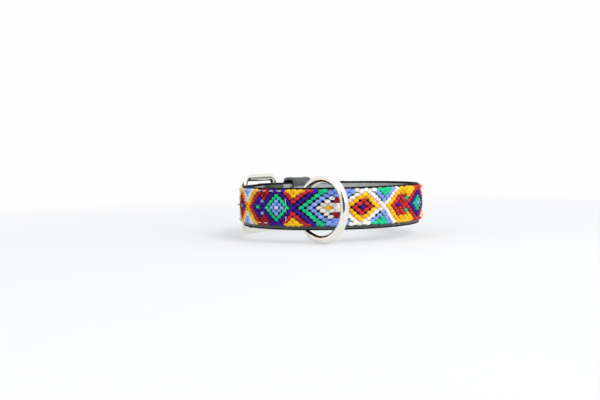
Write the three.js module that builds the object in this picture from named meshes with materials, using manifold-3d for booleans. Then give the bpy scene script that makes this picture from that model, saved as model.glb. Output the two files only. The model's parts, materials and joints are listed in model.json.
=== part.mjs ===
// A dog collar: a lined leather strap closed in a loop by a buckle, with a knotted band sewn on its
// outer face and a loose round ring that the strap passes through. Millimetres, +Z up. The loop
// stands on edge, as on a table, and its front faces -Y.

import * as THREE from "three";
import { mergeVertices } from "three/addons/utils/BufferGeometryUtils.js";
import Module from "manifold-3d";

const wasm = await Module();
wasm.setup();

// The strap and its layers
const neckRadius = 53;
const strapWidth = 25;
const leatherThickness = 2.2;
const liningThickness = 1.2;
const glueLine = 0.25;
const tongueReach = 62;
const tipLength = 11;
const flapLength = 28;
const foldBlend = 10;
const climbLength = 16;
const descentLength = 13.4;

// The knotted band
const bandThickness = 2.2;
const bandLowerMargin = 2.6;
const bandUpperMargin = 0.9;
const bandEndRounding = 7;
const bandEndGap = 4;

// The buckle
const barRadius = 2;
const frameLength = 31;
const frameSideClearance = 2;
const frameSideWidth = 6;
const frameEndWidth = 5;
const frameThickness = 4;
const frameCorner = 6;
const barBackOffset = 41.5;
const barHeight = 3;
const barPlay = 0.3;

// The prong
const prongDiameter = 2.4;
const prongCollar = 2;
const prongCollarWidth = 4.4;
const prongOverhang = 3.2;
const prongLift = 8;

// The punched holes in the tongue
const holeDiameter = 4.2;
const holePitch = 18;
const holeCount = 5;
const prongHoleOffset = 7.3;

// The keeper
const keeperWidth = 15;
const keeperThickness = 2.2;
const keeperOffset = 20.3;
const keeperSidePlay = 1.2;
const keeperFacePlay = 0.4;
const keeperCorner = 2.6;

// The loose ring
const ringWire = 5;
const ringPlay = 6;
const ringOffset = 6.5;
const ringTurn = 41;
const ringLean = 4;

// The threads
const threadDiameter = 0.7;
const stitchPitch = 5;
const seamEdgeMargin = 2.8;
const seamEndMargin = 6;
const frontSeamOffset = 28;
const foldSeamNear = 11.5;
const foldSeamFar = 25.5;

// Gaps that keep neighbours apart, and the overrun of every cut
const clearance = 0.3;
const hair = 0.05;
const overrun = 1;

// Spacing of the points along curves, and the sides of round things
const loopStep = 5;
const bendStep = 1.6;
const threadSides = 6;
const holeSides = 12;
const castSides = 8;
const boreSides = 16;
const collarSides = 20;
const wireSides = 12;
const ringSteps = 40;

// Heights above the neck face of the lining
const leatherInner = liningThickness + glueLine;
const leatherOuter = leatherInner + leatherThickness;
const leatherMiddle = leatherInner + leatherThickness / 2;
const bandInner = leatherOuter + glueLine;
const bandOuter = bandInner + bandThickness;
const flapMiddle = leatherInner - glueLine - leatherThickness / 2;
const foldMiddleRadius = barRadius + barPlay + leatherThickness / 2;
const foldTop = barHeight + foldMiddleRadius + leatherThickness / 2;
const tongueOverBar = foldTop + clearance;
const tongueOverStrap = leatherOuter + threadDiameter + 2 * clearance;

// The end bar lies over the tongue, and the prong's tip over the end bar
const frameRise = leatherOuter + clearance + frameThickness / 2 - barHeight;
const prongRoot = barHeight + barRadius + clearance + prongDiameter / 2 - hair;
const prongTip = barHeight + frameRise + frameThickness / 2 + clearance + prongDiameter / 2;

// Lengths along the strap, counted from the heel bar
const pathRadius = neckRadius + leatherMiddle;
const loopLength = 2 * Math.PI * pathRadius;
const strapEnd = loopLength + tongueReach;
const bandStart = tongueReach + bandEndGap;
const bandEnd = loopLength - frameLength - frameEndWidth / 2 - bandEndGap;
const frontCentre = barBackOffset + loopLength / 2;
const climbEnd = loopLength - barRadius;
const climbStart = climbEnd - climbLength;
const descentStart = loopLength + barRadius / 2;
const descentEnd = descentStart + descentLength;

// Heights above the floor, on which the buckle and the ring stand
const frameHalfHeight = strapWidth / 2 + frameSideClearance + frameSideWidth;
const strapCentre = frameHalfHeight;
const strapBottom = strapCentre - strapWidth / 2;
const strapTop = strapCentre + strapWidth / 2;
const bandBottom = strapBottom + bandLowerMargin;
const bandTop = strapTop - bandUpperMargin;
const ringRadius = (strapWidth + ringPlay + ringWire) / 2;
const ringTilt = THREE.MathUtils.degToRad(ringLean);
const ringCentre = ringRadius * Math.cos(ringTilt) + ringWire / 2;

const leatherBlack = new THREE.MeshStandardMaterial({ color: 0x2b2f30, roughness: 0.55 });
const leatherGrey = new THREE.MeshStandardMaterial({ color: 0x77797a, roughness: 0.85 });
const nickel = new THREE.MeshStandardMaterial({ color: 0xdcd8cc, roughness: 0.2, metalness: 1 });
const knots = new THREE.MeshStandardMaterial({ color: 0x5b2a8c, roughness: 0.8 });
const whiteThread = new THREE.MeshStandardMaterial({ color: 0xe8e6e0, roughness: 0.8 });
const darkThread = new THREE.MeshStandardMaterial({ color: 0x3a3d3e, roughness: 0.8 });

const group = new THREE.Group();

// Eases from 0 to 1 with level ends
function ease(value) {
  const share = Math.min(1, Math.max(0, value));
  return share * share * (3 - 2 * share);
}

// A point at a length along the strap, a height above the neck face and a height above the floor
function bend(along, height, z) {
  const angle = (barBackOffset - along) / pathRadius;
  const radius = neckRadius + height;
  return new THREE.Vector3(-radius * Math.sin(angle), radius * Math.cos(angle), z);
}

// How far the strap's neck face stands off the loop where the strap folds and where it overlaps
function lift(along) {
  const fold = (foldTop - leatherThickness / 2 - leatherMiddle) * (1 - ease(along / foldBlend));
  const climb = tongueOverBar * ease((along - climbStart) / (climbEnd - climbStart));
  const fall = (along - descentStart) / (descentEnd - descentStart);
  return fold + climb - (tongueOverBar - tongueOverStrap) * ease(fall);
}

// The neck face's point and outward direction in plan
function neckFace(along) {
  const reach = hair;
  const before = bend(along - reach, lift(along - reach), 0);
  const after = bend(along + reach, lift(along + reach), 0);
  const forward = after.sub(before).normalize();
  const outward = new THREE.Vector3(-forward.y, forward.x, 0);
  return { point: bend(along, lift(along), 0), forward, outward };
}

// A frame on the strap's neck face: X along the strap, Y outward, Z up from the floor
function strapFrame(along) {
  const { point, forward, outward } = neckFace(along);
  const up = new THREE.Vector3(0, 0, 1);
  return new THREE.Matrix4().makeBasis(forward, outward, up).setPosition(point);
}

// A frame on the plain loop, without the strap's rises
function loopFrame(along, height) {
  const angle = (barBackOffset - along) / pathRadius;
  const forward = new THREE.Vector3(Math.cos(angle), Math.sin(angle), 0);
  const outward = new THREE.Vector3(-Math.sin(angle), Math.cos(angle), 0);
  const up = new THREE.Vector3(0, 0, 1);
  return new THREE.Matrix4().makeBasis(forward, outward, up).setPosition(bend(along, height, 0));
}

// Places along the strap, closer together where it bends out of its loop
function stations(start, end) {
  const fine = [
    [0, foldBlend],
    [climbStart, descentEnd],
  ];
  const places = [];
  let along = start;
  while (along < end - hair) {
    places.push(along);
    const inside = fine.find(([low, high]) => along >= low - hair && along < high - hair);
    const ahead = fine.find(([low]) => low > along + hair);
    const step = inside ? bendStep : loopStep;
    const stop = inside ? inside[1] : ahead ? ahead[0] : end;
    along = Math.min(along + step, stop, end);
  }
  places.push(end);
  return places;
}

// A closed solid of manifold-3d from a closed mesh
function solid(geometry) {
  const bare = geometry.clone();
  bare.deleteAttribute("normal");
  bare.deleteAttribute("uv");
  const merged = mergeVertices(bare);
  return new wasm.Manifold(
    new wasm.Mesh({
      numProp: 3,
      vertProperties: new Float32Array(merged.attributes.position.array),
      triVerts: new Uint32Array(merged.index.array),
    }),
  );
}

function geometryOf(body) {
  const mesh = body.getMesh();
  const geometry = new THREE.BufferGeometry();
  geometry.setAttribute("position", new THREE.BufferAttribute(mesh.vertProperties, 3));
  geometry.setIndex(new THREE.BufferAttribute(mesh.triVerts, 1));
  geometry.computeVertexNormals();
  return geometry;
}

function add(name, body, material) {
  const mesh = new THREE.Mesh(geometryOf(body), material);
  mesh.name = name;
  group.add(mesh);
  return mesh;
}

// A solid through equal rings of points, closed on itself or with a flat cap at each end
function loft(rings, closed) {
  const sides = rings[0].length;
  const positions = rings.flat().flatMap((point) => [point.x, point.y, point.z]);
  const index = [];
  const spans = closed ? rings.length : rings.length - 1;
  for (let ring = 0; ring < spans; ring += 1) {
    const next = (ring + 1) % rings.length;
    for (let side = 0; side < sides; side += 1) {
      const beside = (side + 1) % sides;
      const a = ring * sides + side;
      const b = ring * sides + beside;
      const c = next * sides + side;
      const d = next * sides + beside;
      index.push(a, b, c, b, d, c);
    }
  }
  if (!closed) {
    const last = (rings.length - 1) * sides;
    for (let side = 1; side < sides - 1; side += 1) {
      index.push(0, side + 1, side);
      index.push(last, last + side, last + side + 1);
    }
  }
  const geometry = new THREE.BufferGeometry();
  geometry.setAttribute("position", new THREE.Float32BufferAttribute(positions, 3));
  geometry.setIndex(index);
  const body = solid(geometry);
  if (body.volume() > 0) {
    return body;
  }
  geometry.setIndex(index.reverse());
  return solid(geometry);
}

// An upright sheet whose plan follows a line of points, half its thickness to each side
function ribbon(line, thickness, bottom, top) {
  const rings = line.map((point, place) => {
    const before = line[Math.max(0, place - 1)];
    const after = line[Math.min(line.length - 1, place + 1)];
    const along = after.clone().sub(before).normalize();
    const side = new THREE.Vector2(-along.y, along.x).multiplyScalar(thickness / 2);
    const left = point.clone().add(side);
    const right = point.clone().sub(side);
    return [
      new THREE.Vector3(left.x, left.y, bottom),
      new THREE.Vector3(right.x, right.y, bottom),
      new THREE.Vector3(right.x, right.y, top),
      new THREE.Vector3(left.x, left.y, top),
    ];
  });
  return loft(rings, false);
}

// A line in plan at a set height above the strap's neck face
function layerLine(start, end, height) {
  return stations(start, end).map((along) => {
    const { point, outward } = neckFace(along);
    return new THREE.Vector2(point.x + outward.x * height, point.y + outward.y * height);
  });
}

// What lies outside a rounded end: a plate with a half oval taken out, square to the strap
function endCutter(along, towards, length, bottom, top) {
  const middle = (bottom + top) / 2;
  const half = (top - bottom) / 2;
  const arcSteps = 10;
  const outline = [];
  for (let step = 0; step <= arcSteps; step += 1) {
    const angle = -Math.PI / 2 + (Math.PI * step) / arcSteps;
    outline.push(new THREE.Vector2(length * Math.cos(angle), middle + half * Math.sin(angle)));
  }
  outline.push(new THREE.Vector2(0, top + overrun));
  outline.push(new THREE.Vector2(length + overrun, top + overrun));
  outline.push(new THREE.Vector2(length + overrun, bottom - overrun));
  outline.push(new THREE.Vector2(0, bottom - overrun));
  const under = (tongueOverStrap - leatherOuter) / 2;
  const depth = bandOuter + under + overrun;
  const shape = new THREE.Shape(outline);
  const geometry = new THREE.ExtrudeGeometry(shape, { depth, bevelEnabled: false });
  geometry.translate(-length / 2, 0, 0);
  const { forward, outward, point } = neckFace(along - (towards * length) / 2);
  const ahead = forward.clone().multiplyScalar(towards);
  const up = new THREE.Vector3(0, 0, 1);
  const through = ahead.clone().cross(up);
  const innerPoint = point.clone().addScaledVector(outward, -under);
  const outerPoint = point.clone().addScaledVector(outward, depth - under);
  const origin = through.dot(outward) > 0 ? innerPoint : outerPoint;
  geometry.applyMatrix4(new THREE.Matrix4().makeBasis(ahead, up, through).setPosition(origin));
  return solid(geometry);
}

// A straight upright rod
function rod(radius, bottom, top, sides) {
  const geometry = new THREE.CylinderGeometry(radius, radius, top - bottom, sides);
  geometry.rotateX(Math.PI / 2);
  geometry.translate(0, 0, (top + bottom) / 2);
  return geometry;
}

// A tube along a path in a frame's YZ plane
function seamTube(frame, path, radius) {
  const rings = path.map(([height, z], place) => {
    const before = path[Math.max(0, place - 1)];
    const after = path[Math.min(path.length - 1, place + 1)];
    const along = new THREE.Vector2(after[0] - before[0], after[1] - before[1]).normalize();
    const ring = [];
    for (let side = 0; side < threadSides; side += 1) {
      const angle = (2 * Math.PI * side) / threadSides;
      const across = radius * Math.sin(angle);
      const point = new THREE.Vector3(
        radius * Math.cos(angle),
        height - along.y * across,
        z + along.x * across,
      );
      ring.push(point.applyMatrix4(frame));
    }
    return ring;
  });
  return loft(rings, false);
}

// Where a row of stitches passes through the strap
function passPlaces(bottom, top) {
  const spans = 2 * Math.floor((top - bottom) / stitchPitch);
  const places = [];
  for (let pass = 1; pass < spans; pass += 1) {
    places.push(bottom + ((top - bottom) * pass) / spans);
  }
  return places;
}

// A running stitch up the strap's width: over, through, under and through again
function stitchPath(inner, outer, bottom, top) {
  const over = outer + threadDiameter / 2 + clearance;
  const under = inner - threadDiameter / 2 - clearance;
  const corner = threadDiameter / 2;
  const path = [[over, bottom]];
  passPlaces(bottom, top).forEach((z, pass) => {
    const from = pass % 2 === 0 ? over : under;
    const to = pass % 2 === 0 ? under : over;
    const turn = Math.sign(to - from) * corner;
    path.push([from, z - corner], [from + turn, z], [to - turn, z], [to, z + corner]);
  });
  const [last] = path[path.length - 1];
  path.push([last, top]);
  return path;
}

function seam(along, inner, outer, bottom, top) {
  const frame = strapFrame(along);
  const radius = threadDiameter / 2 + clearance;
  const reach = (tongueOverStrap - leatherOuter) / 2;
  const cuts = passPlaces(bottom, top).map((z) => {
    const length = outer - inner + 2 * reach;
    const geometry = new THREE.CylinderGeometry(radius, radius, length, threadSides);
    geometry.translate(0, (outer + inner) / 2, z);
    geometry.applyMatrix4(frame);
    return solid(geometry);
  });
  return {
    thread: seamTube(frame, stitchPath(inner, outer, bottom, top), threadDiameter / 2),
    cut: wasm.Manifold.union(cuts),
  };
}

// The strap's outer leather: the flap, the turn round the heel bar, the loop and the tongue
function leatherLine() {
  const line = [];
  const flapStations = stations(0, flapLength).reverse();
  for (const along of flapStations) {
    const drop = barHeight - foldMiddleRadius - flapMiddle;
    const height = flapMiddle + drop * (1 - ease(along / foldBlend));
    const point = bend(along, height, 0);
    line.push(new THREE.Vector2(point.x, point.y));
  }
  const turnSteps = 10;
  for (let step = 1; step < turnSteps; step += 1) {
    const angle = (Math.PI * step) / turnSteps;
    const along = -foldMiddleRadius * Math.sin(angle);
    const point = bend(along, barHeight - foldMiddleRadius * Math.cos(angle), 0);
    line.push(new THREE.Vector2(point.x, point.y));
  }
  return [...line, ...layerLine(0, strapEnd, leatherMiddle)];
}

// The round holes punched through the tongue
function punchedHoles() {
  const holes = [];
  const radius = holeDiameter / 2;
  const low = -(threadDiameter + clearance);
  const high = leatherOuter + overrun;
  for (let hole = 0; hole < holeCount; hole += 1) {
    const along = loopLength - prongHoleOffset + (hole - 1) * holePitch;
    const geometry = new THREE.CylinderGeometry(radius, radius, high - low, holeSides);
    geometry.translate(0, (high + low) / 2, strapCentre);
    geometry.applyMatrix4(strapFrame(along));
    holes.push(solid(geometry));
  }
  return wasm.Manifold.union(holes);
}

// The corners of a rounded section whose flats lie at the half sizes given
function section(halfWide, halfThick) {
  const corners = [];
  const reach = 1 / Math.cos(Math.PI / castSides);
  for (let corner = 0; corner < castSides; corner += 1) {
    const angle = ((corner + 1 / 2) * 2 * Math.PI) / castSides;
    corners.push([halfWide * reach * Math.cos(angle), halfThick * reach * Math.sin(angle)]);
  }
  return corners;
}

// The buckle's frame: a rounded rectangle of cast bar that rises from the heel bar to the end bar
function buckleFrame() {
  const sideMiddle = strapWidth / 2 + frameSideClearance + frameSideWidth / 2;
  const heelCorner = sideMiddle - strapWidth / 2 - clearance;
  const heelUp = sideMiddle - heelCorner;
  const endAhead = frameLength - frameCorner;
  const endUp = sideMiddle - frameCorner;
  const corners = [
    [heelCorner, heelUp, heelCorner, Math.PI],
    [endAhead, endUp, frameCorner, Math.PI / 2],
    [endAhead, -endUp, frameCorner, 0],
    [heelCorner, -heelUp, heelCorner, -Math.PI / 2],
  ];
  const stops = [];
  const sideSteps = 4;
  const cornerSteps = 4;
  corners.forEach(([ahead, up, radius, startTurn], corner) => {
    for (let step = 0; step <= cornerSteps; step += 1) {
      const turn = startTurn - ((Math.PI / 2) * step) / cornerSteps;
      stops.push([ahead + radius * Math.cos(turn), up + radius * Math.sin(turn), turn]);
    }
    if (corner % 2 === 0) {
      const next = corners[corner + 1];
      for (let step = 1; step < sideSteps; step += 1) {
        const [, , turn] = stops[stops.length - 1];
        const along = ahead + ((next[0] - ahead) * step) / sideSteps;
        stops.push([along, Math.sign(up) * sideMiddle, turn]);
      }
    }
  });
  const heelFlat = barRadius * Math.cos(Math.PI / castSides);
  const rings = stops.map(([ahead, up, turn]) => {
    const heel = ease(Math.max(0, -Math.cos(turn)));
    const end = ease(Math.max(0, Math.cos(turn)));
    const side = 1 - heel - end;
    const halfWide = heelFlat * heel + (frameEndWidth / 2) * end + (frameSideWidth / 2) * side;
    const halfThick = heelFlat * heel + (frameThickness / 2) * (1 - heel);
    const height = barHeight + frameRise * ease(ahead / frameLength);
    return section(halfWide, halfThick).map(([across, thick]) =>
      bend(
        -(ahead + across * Math.cos(turn)),
        height + thick,
        strapCentre + up + across * Math.sin(turn),
      ),
    );
  });
  return loft(rings, true);
}

// The prong's arm, from the heel bar to just past the end bar, with a blunt rounded tip
function prongArm(grow) {
  const taperShares = [1, 1, 1, 1, 1, 0.98, 0.94, 0.84, 0.5];
  const placeShares = [0, 0.12, 0.25, 0.4, 0.55, 0.75, 0.9, 0.97, 1];
  const reach = frameLength + prongOverhang;
  const rings = placeShares.map((share, place) => {
    const ahead = share * reach;
    const height = prongRoot + (prongTip - prongRoot) * ease(ahead / frameLength);
    const radius = (prongDiameter / 2) * taperShares[place] + grow;
    const ring = [];
    for (let side = 0; side < castSides; side += 1) {
      const angle = (2 * Math.PI * (side + 1 / 2)) / castSides;
      const end = share === 1 ? grow : 0;
      const up = radius * Math.cos(angle);
      ring.push(bend(-(ahead + end), height + up, strapCentre + radius * Math.sin(angle)));
    }
    return ring;
  });
  return loft(rings, false);
}

const barPoint = bend(0, barHeight, 0);

// Turns a solid about the heel bar, outward for a positive angle in degrees
function aboutBar(body, angle) {
  return body
    .translate([-barPoint.x, -barPoint.y, 0])
    .rotate([0, 0, -angle])
    .translate([barPoint.x, barPoint.y, 0]);
}

function buckleProng() {
  const half = prongCollarWidth / 2;
  const bottom = strapCentre - half;
  const top = strapCentre + half;
  const collar = rod(barRadius + clearance + prongCollar, bottom, top, collarSides);
  const bore = rod(barRadius + clearance, strapBottom, strapTop, boreSides);
  collar.translate(barPoint.x, barPoint.y, 0);
  bore.translate(barPoint.x, barPoint.y, 0);
  return solid(collar).add(prongArm(0)).subtract(solid(bore));
}

// The room the prong needs as it lifts, which is how far it draws its hole long
function prongRoom() {
  const places = [0, prongLift / 2, prongLift];
  return wasm.Manifold.union(places.map((angle) => aboutBar(prongArm(clearance), angle)));
}

// The slot in the fold, where the prong's collar sits
function prongSlot() {
  const reach = foldMiddleRadius + leatherThickness / 2;
  const ahead = reach + overrun;
  const behind = reach + clearance;
  const low = barHeight - reach - overrun;
  const high = foldTop + clearance / 2;
  const height = prongCollarWidth + 2 * clearance;
  const geometry = new THREE.BoxGeometry(ahead + behind, high - low, height);
  geometry.translate((behind - ahead) / 2, (high + low) / 2, strapCentre);
  geometry.applyMatrix4(loopFrame(0, 0));
  return solid(geometry);
}

// The keeper: a closed loop of leather round the strap and the tongue
function keeper() {
  const inner = Math.min(flapMiddle - leatherThickness / 2 - threadDiameter - clearance, 0);
  const low = inner - keeperFacePlay;
  const high = tongueOverStrap + leatherOuter + keeperFacePlay;
  const half = strapWidth / 2 + keeperSidePlay;
  const outline = roundedBox(
    low - keeperThickness,
    high + keeperThickness,
    half + keeperThickness,
    keeperCorner + keeperThickness / 2,
  );
  outline.holes.push(roundedBox(low, high, half, keeperCorner - keeperThickness / 2));
  const steps = Math.ceil(keeperWidth / loopStep);
  const geometry = new THREE.ExtrudeGeometry(outline, {
    depth: keeperWidth,
    steps,
    bevelEnabled: false,
    curveSegments: 4,
  });
  geometry.translate(0, 0, keeperOffset - keeperWidth / 2);
  const places = geometry.attributes.position;
  for (let place = 0; place < places.count; place += 1) {
    const height = places.getX(place);
    const z = places.getY(place);
    const point = bend(places.getZ(place), height, strapCentre + z);
    places.setXYZ(place, point.x, point.y, point.z);
  }
  return solid(geometry);
}

function roundedBox(low, high, half, corner) {
  const shape = new THREE.Shape();
  shape.moveTo(low + corner, -half);
  shape.lineTo(high - corner, -half);
  shape.absarc(high - corner, corner - half, corner, -Math.PI / 2, 0);
  shape.lineTo(high, half - corner);
  shape.absarc(high - corner, half - corner, corner, 0, Math.PI / 2);
  shape.lineTo(low + corner, half);
  shape.absarc(low + corner, half - corner, corner, Math.PI / 2, Math.PI);
  shape.lineTo(low, corner - half);
  shape.absarc(low + corner, corner - half, corner, Math.PI, (3 * Math.PI) / 2);
  return shape;
}

// Seams: three rows across the band, and two across the fold
const seamBottom = bandBottom + seamEdgeMargin;
const seamTop = bandTop - seamEdgeMargin;
const foldBottom = strapBottom + seamEdgeMargin;
const foldTopEdge = strapTop - seamEdgeMargin;
const flapInner = flapMiddle - leatherThickness / 2;
const bandSeams = {
  seam_right: seam(bandStart + seamEndMargin, 0, bandOuter, seamBottom, seamTop),
  seam_front: seam(frontCentre + frontSeamOffset, 0, bandOuter, seamBottom, seamTop),
  seam_left: seam(bandEnd - seamEndMargin, 0, bandOuter, seamBottom, seamTop),
};
const foldSeams = {
  fold_seam_near: seam(foldSeamNear, flapInner, leatherOuter, foldBottom, foldTopEdge),
  fold_seam_far: seam(foldSeamFar, flapInner, leatherOuter, foldBottom, foldTopEdge),
};
const bandCuts = wasm.Manifold.union(Object.values(bandSeams).map(({ cut }) => cut));
const foldCuts = wasm.Manifold.union(Object.values(foldSeams).map(({ cut }) => cut));

const tipCutter = endCutter(strapEnd, 1, tipLength, strapBottom, strapTop);
const holes = punchedHoles();
const room = prongRoom();

const leather = ribbon(leatherLine(), leatherThickness, strapBottom, strapTop)
  .subtract(tipCutter)
  .subtract(holes)
  .subtract(room)
  .subtract(prongSlot())
  .subtract(bandCuts)
  .subtract(foldCuts);
add("strap_leather", leather, leatherBlack);

const liningStart = flapLength + clearance;
const liningLine = layerLine(liningStart, strapEnd, liningThickness / 2);
const lining = ribbon(liningLine, liningThickness, strapBottom, strapTop)
  .subtract(tipCutter)
  .subtract(holes)
  .subtract(room)
  .subtract(bandCuts);
add("strap_lining", lining, leatherGrey);

const bandLine = layerLine(bandStart, bandEnd, (bandInner + bandOuter) / 2);
const band = ribbon(bandLine, bandThickness, bandBottom, bandTop)
  .subtract(endCutter(bandStart, -1, bandEndRounding, bandBottom, bandTop))
  .subtract(endCutter(bandEnd, 1, bandEndRounding, bandBottom, bandTop))
  .subtract(bandCuts);
add("knotted_band", band, knots);

for (const [name, { thread }] of Object.entries(bandSeams)) {
  add(name, thread, whiteThread);
}
for (const [name, { thread }] of Object.entries(foldSeams)) {
  add(name, thread, darkThread);
}

add("keeper", keeper(), leatherBlack);
add("buckle_frame", buckleFrame(), nickel);
add("buckle_prong", buckleProng(), nickel);

// The ring stands on the floor, turned so that its right half comes forward of the strap, and
// leans back a little
const torus = new THREE.TorusGeometry(ringRadius, ringWire / 2, wireSides, ringSteps);
torus.rotateX(Math.PI / 2 - ringTilt);
torus.rotateZ(Math.PI + THREE.MathUtils.degToRad(-ringTurn));
torus.translate(0, 0, ringCentre);
torus.applyMatrix4(loopFrame(frontCentre + ringOffset, bandOuter / 2));
add("ring", solid(torus), nickel);

// The origin is under the middle of the part, on the floor
const box = new THREE.Box3().setFromObject(group);
const middle = box.getCenter(new THREE.Vector3());
group.position.set(-middle.x, -middle.y, -box.min.z);

export default group;
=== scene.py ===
"""A dog collar: a lined leather strap closed by a prong buckle, with a hand-knotted band sewn on
its outer face, a loose nickel ring and a leather keeper. Lengths are in millimetres until a mesh
is made, and the loop stands on edge with its front towards -Y."""

import json
import math
import random

import bmesh
import bpy
from mathutils import Matrix, Vector


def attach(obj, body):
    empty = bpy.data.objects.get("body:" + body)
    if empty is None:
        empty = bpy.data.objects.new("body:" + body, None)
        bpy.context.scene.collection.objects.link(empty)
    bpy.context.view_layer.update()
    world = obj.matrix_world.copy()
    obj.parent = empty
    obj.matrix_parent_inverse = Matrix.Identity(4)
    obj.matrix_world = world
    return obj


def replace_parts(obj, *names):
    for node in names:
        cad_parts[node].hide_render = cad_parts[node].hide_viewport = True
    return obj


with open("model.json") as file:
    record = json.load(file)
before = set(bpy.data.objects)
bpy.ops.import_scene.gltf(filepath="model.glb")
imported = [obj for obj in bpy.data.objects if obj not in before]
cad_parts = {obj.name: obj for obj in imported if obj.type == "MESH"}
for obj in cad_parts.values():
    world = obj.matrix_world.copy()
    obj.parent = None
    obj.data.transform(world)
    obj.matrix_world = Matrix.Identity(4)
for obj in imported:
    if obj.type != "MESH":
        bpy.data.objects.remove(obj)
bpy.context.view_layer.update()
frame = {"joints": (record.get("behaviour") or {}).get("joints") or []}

MM = 0.001
TINY = 1e-9
SEED = 7

# The strap and its layers, as in the part's source
NECK_RADIUS = 53
STRAP_WIDTH = 25
LEATHER = 2.2
LINING = 1.2
GLUE = 0.25
TONGUE_REACH = 62
TIP_LENGTH = 11
TIP_LEAST_SHARE = 0.004
FLAP_LENGTH = 28
FOLD_BLEND = 10
CLIMB_LENGTH = 16
DESCENT_LENGTH = 13.4
CLEARANCE = 0.3
THREAD = 0.7
FINE_THREAD = 0.5

# The buckle, the prong, the keeper and the ring
BAR_RADIUS = 2
FRAME_LENGTH = 31
FRAME_SIDE_GAP = 2
FRAME_SIDE_WIDTH = 6
FRAME_END_WIDTH = 5
FRAME_THICKNESS = 4
FRAME_CORNER = 6
BAR_BACK = 41.5
BAR_HEIGHT = 3
BAR_PLAY = 0.3
PRONG = 2.4
PRONG_COLLAR = 2
PRONG_COLLAR_WIDTH = 4.4
PRONG_OVERHANG = 3.2
PRONG_LIFT = 8
HOLE = 4.2
HOLE_PITCH = 18
HOLE_COUNT = 5
PRONG_HOLE = 7.3
KEEPER_WIDTH = 15
KEEPER_LEATHER = 2.2
KEEPER_PLACE = 20.3
KEEPER_SIDE_PLAY = 1.2
KEEPER_FACE_PLAY = 0.4
KEEPER_CORNER = 2.6
RING_WIRE = 5
RING_RADIUS = 18
RING_OFFSET = 6.5
RING_TURN = 41
RING_LEAN = 4

# The knotted band
BAND = 2.2
BAND_LOWER = 2.6
BAND_UPPER = 0.9
BAND_END_ROUNDING = 7
BAND_END_GAP = 4

# Heights above the neck face
LEATHER_IN = LINING + GLUE
LEATHER_OUT = LEATHER_IN + LEATHER
LEATHER_MID = LEATHER_IN + LEATHER / 2
BAND_IN = LEATHER_OUT + GLUE
BAND_OUT = BAND_IN + BAND
FLAP_MID = LEATHER_IN - GLUE - LEATHER / 2
FOLD_RADIUS = BAR_RADIUS + BAR_PLAY + LEATHER / 2
FOLD_TOP = BAR_HEIGHT + FOLD_RADIUS + LEATHER / 2
OVER_BAR = FOLD_TOP + CLEARANCE
OVER_STRAP = LEATHER_OUT + THREAD + 2 * CLEARANCE
FRAME_RISE = LEATHER_OUT + CLEARANCE + FRAME_THICKNESS / 2 - BAR_HEIGHT

# Lengths along the strap from the heel bar
PATH_RADIUS = NECK_RADIUS + LEATHER_MID
LOOP = 2 * math.pi * PATH_RADIUS
STRAP_END = LOOP + TONGUE_REACH
BAND_START = TONGUE_REACH + BAND_END_GAP
BAND_END = LOOP - FRAME_LENGTH - FRAME_END_WIDTH / 2 - BAND_END_GAP
FRONT = BAR_BACK + LOOP / 2
CLIMB_END = LOOP - BAR_RADIUS
CLIMB_START = CLIMB_END - CLIMB_LENGTH
FALL_START = LOOP + BAR_RADIUS / 2
FALL_END = FALL_START + DESCENT_LENGTH

# Heights above the floor
CENTRE = STRAP_WIDTH / 2 + FRAME_SIDE_GAP + FRAME_SIDE_WIDTH
BOTTOM = CENTRE - STRAP_WIDTH / 2
TOP = CENTRE + STRAP_WIDTH / 2
BAND_BOTTOM = BOTTOM + BAND_LOWER
BAND_TOP = TOP - BAND_UPPER
RING_CENTRE = RING_RADIUS * math.cos(math.radians(RING_LEAN)) + RING_WIRE / 2

JOINT_PLACES = {joint["name"]: Vector(joint["pos_m"]) / MM for joint in frame["joints"]}
AXIS = JOINT_PLACES["ring_travel"]


def ease(value):
    share = min(1, max(0, value))
    return share * share * (3 - 2 * share)


# Where things lie along the strap


def bend(along, height, z):
    angle = (BAR_BACK - along) / PATH_RADIUS
    radius = NECK_RADIUS + height
    return Vector((AXIS.x - radius * math.sin(angle), AXIS.y + radius * math.cos(angle), z))


def lift(along):
    fold = (FOLD_TOP - LEATHER / 2 - LEATHER_MID) * (1 - ease(along / FOLD_BLEND))
    climb = OVER_BAR * ease((along - CLIMB_START) / (CLIMB_END - CLIMB_START))
    fall = (along - FALL_START) / (FALL_END - FALL_START)
    return fold + climb - (OVER_BAR - OVER_STRAP) * ease(fall)


def neck_face(along):
    """The neck face's point in plan, and the forward and outward directions there."""
    reach = 0.05
    before = bend(along - reach, lift(along - reach), 0)
    after = bend(along + reach, lift(along + reach), 0)
    forward = (after - before).normalized()
    return bend(along, lift(along), 0), forward, Vector((-forward.y, forward.x, 0))


def on_strap(along, height, z):
    point, _, outward = neck_face(along)
    return point + outward * height + Vector((0, 0, z))


def steps(start, end, pitch):
    count = max(1, math.ceil(abs(end - start) / pitch))
    return [start + (end - start) * step / count for step in range(count + 1)]


# Meshes


def circle(count):
    return [2 * math.pi * step / count for step in range(count)]


def mesh_of(name, shape):
    points, faces = shape
    mesh = bpy.data.meshes.new(name)
    mesh.from_pydata([tuple(point * MM) for point in points], [], faces)
    return mesh


def add_object(name, data):
    made = bpy.data.objects.new(name, data)
    bpy.context.collection.objects.link(made)
    return made


def make(name, shape, body, materials, indices=None):
    """A closed piece from a shape's points, in millimetres, and faces, riding on a body."""
    mesh = mesh_of(name, shape)
    mesh.validate()
    for material in materials:
        mesh.materials.append(material)
    if indices is not None:
        mesh.polygons.foreach_set("material_index", indices)
    mesh.polygons.foreach_set("use_smooth", [True] * len(mesh.polygons))
    mesh.update()
    piece = add_object(name, mesh)
    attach(piece, body)
    outward_faces(piece)
    return piece


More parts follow.
